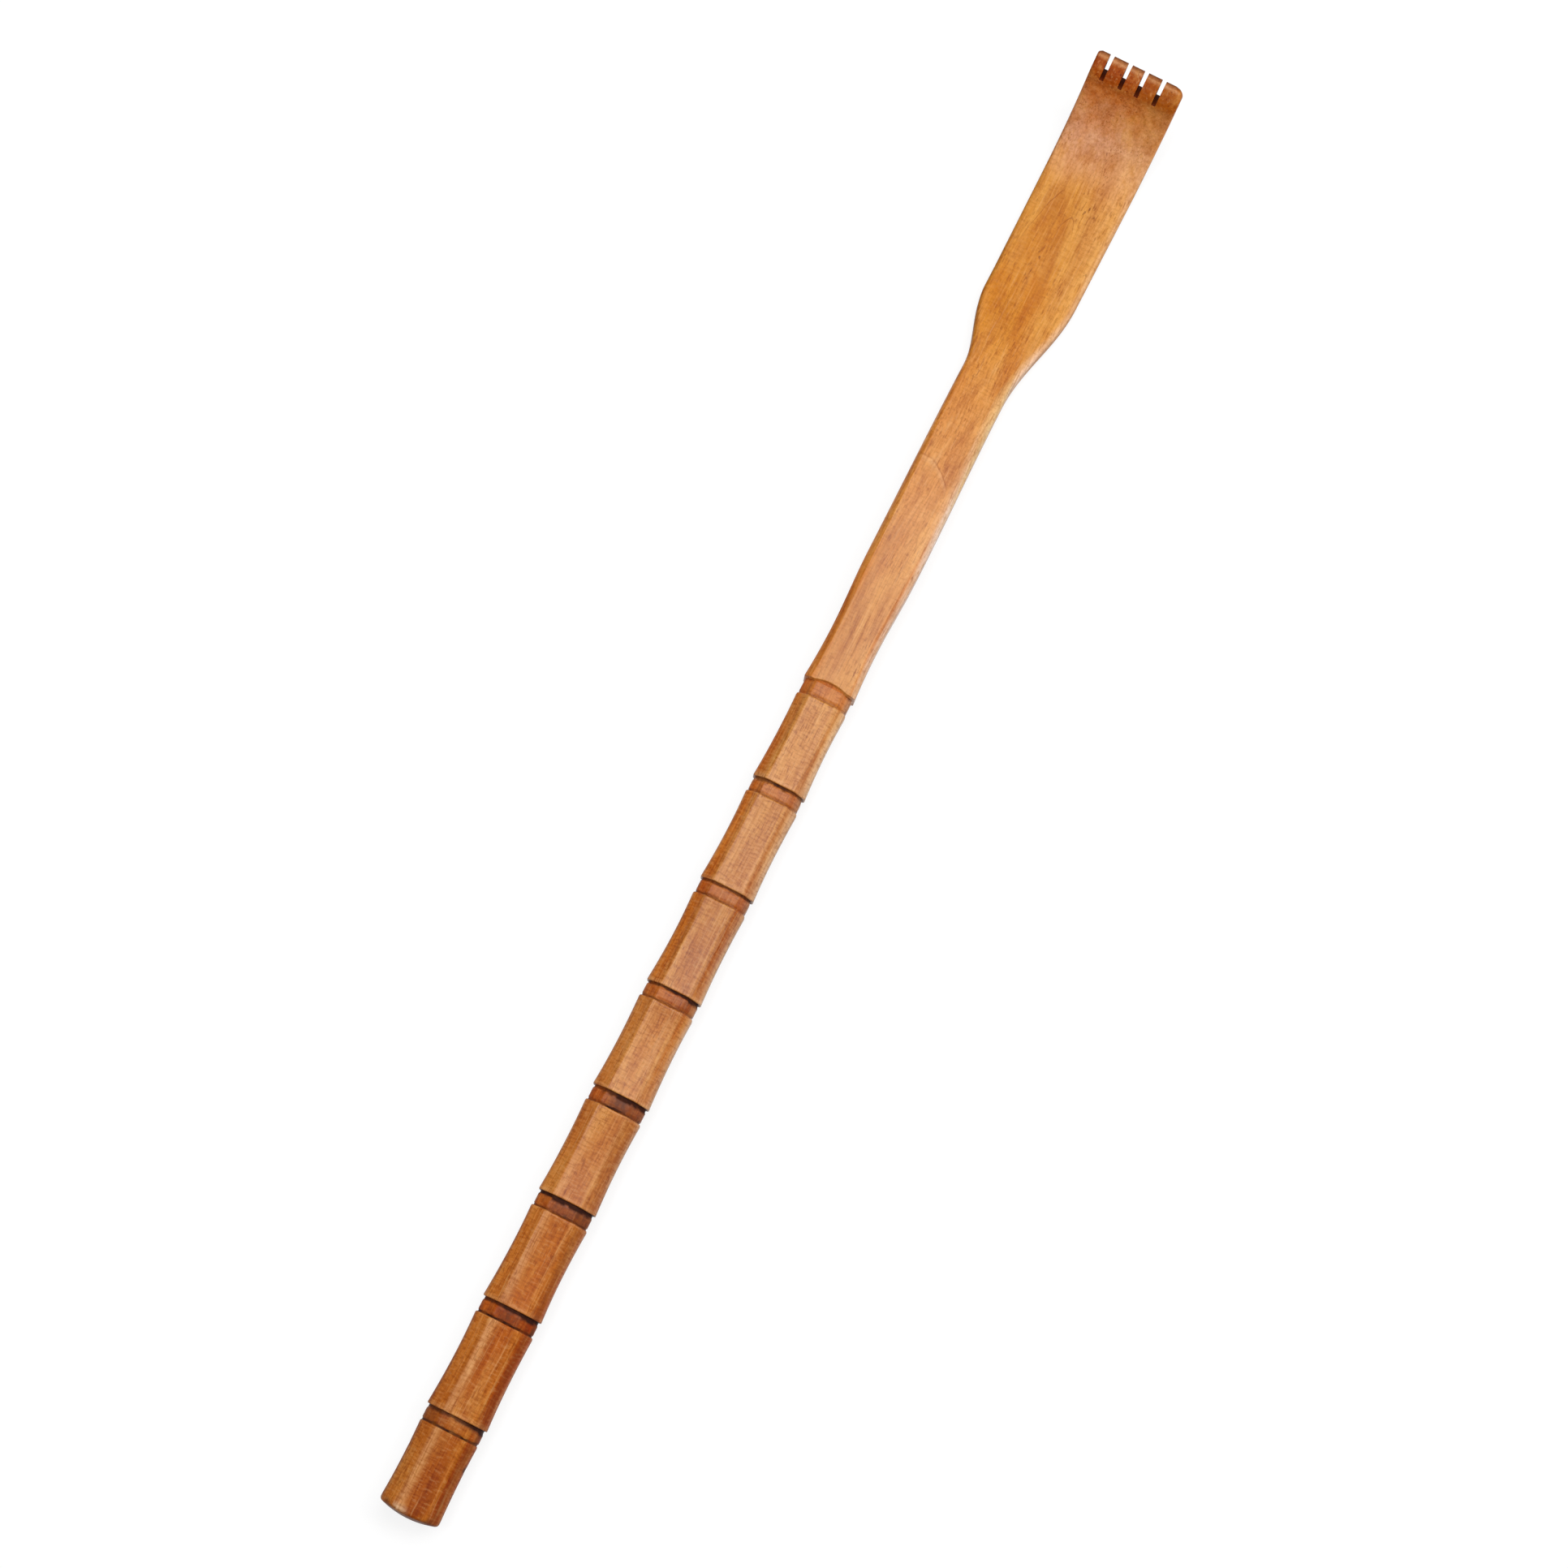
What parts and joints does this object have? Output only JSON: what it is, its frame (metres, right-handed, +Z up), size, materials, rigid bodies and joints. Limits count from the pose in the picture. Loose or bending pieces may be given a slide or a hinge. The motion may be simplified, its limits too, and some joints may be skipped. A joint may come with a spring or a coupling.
{
  "type": "back scratcher",
  "caption": "Long wooden back scratcher with a carved bamboo-style handle, a slim bevelled neck and a flat paddle that hooks up into short slotted claws.",
  "frame": {"origin": "middle of the floor under the scratcher as it lies on its back, half way along its length", "axes": "+Y along the length from the handle's end to the claws, +Z up, the way the claws hook, +X to the right seen from above with the claws away from the viewer"},
  "size_m": [0.03, 0.4992, 0.0288],
  "materials": {
    "lacquered_wood_head": "golden orange close-grained wood under a clear gloss lacquer",
    "lacquered_wood_handle": "orange-brown stained wood under a clear gloss lacquer, darker in the carved grooves",
    "raw_beech": "raw fluted beech dowel"
  },
  "bodies": {
    "root": {"claw_head": "lacquered_wood_head", "bamboo_handle": "lacquered_wood_handle", "joint_dowel": "raw_beech"}
  },
  "joints": []
}
